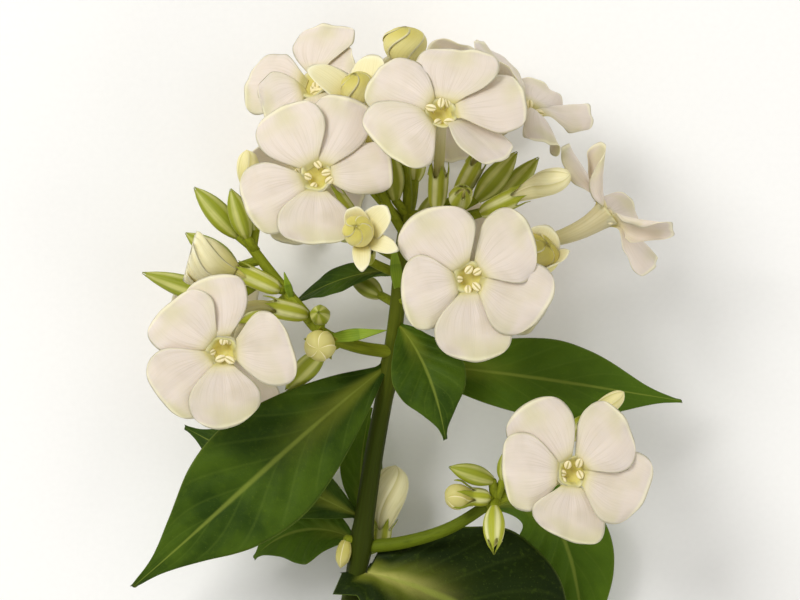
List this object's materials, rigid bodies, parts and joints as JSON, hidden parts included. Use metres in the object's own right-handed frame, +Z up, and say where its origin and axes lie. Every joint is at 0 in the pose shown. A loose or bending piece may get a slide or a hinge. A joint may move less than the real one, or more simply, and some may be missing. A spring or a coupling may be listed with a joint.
{
  "type": "garden phlox stem",
  "caption": "cut flowering stem of white garden phlox lying on its back, with paired pointed leaves and a loose head of five-petalled tubular flowers and buds",
  "frame": {"origin": "the bottom centre of the bounding box, on the surface that the stem lies on", "axes": "+Y runs along the stem towards the flower head, +X is to the right seen from above, and +Z points up from the surface"},
  "size_m": [0.1456, 0.2056, 0.0613],
  "materials": {
    "stem": "satin, ribbed yellow-green calyces with pale streaks and dark points",
    "leaf": "satin, dark green with a pale midrib",
    "petal": "soft, fine radial veins, paler rim and a yellow-olive throat",
    "bud": "soft pale yellow, twisted folds"
  },
  "bodies": {
    "root": {"stem": "stem", "leaf_upper_left": "leaf", "leaf_upper_right": "leaf", "leaf_front": "leaf", "leaf_back": "leaf", "leaf_middle_right": "leaf", "leaf_side_shoot": "leaf", "leaf_middle_left": "leaf", "leaf_far_left": "leaf", "leaf_behind": "leaf", "leaf_lower_left": "leaf", "leaf_lower_right": "leaf", "bloom_front": "petal", "bloom_left": "petal", "bloom_upper_left": "petal", "bloom_upper": "petal", "bloom_top_left": "petal", "bloom_top_right": "petal", "bloom_right": "petal", "bloom_side_shoot": "petal", "bloom_back_left": "petal", "bloom_back_top": "petal", "bloom_back_right": "petal", "bloom_back_shoot": "petal", "bud_top": "bud", "bud_top_left": "bud", "bud_centre": "bud", "bud_right": "bud", "bud_far_right": "bud", "bud_far_left": "bud", "bud_left_up": "bud", "bud_left_front": "bud", "bud_side_shoot_left": "bud", "bud_side_shoot_right": "bud", "bud_lower_right": "bud"}
  },
  "joints": []
}
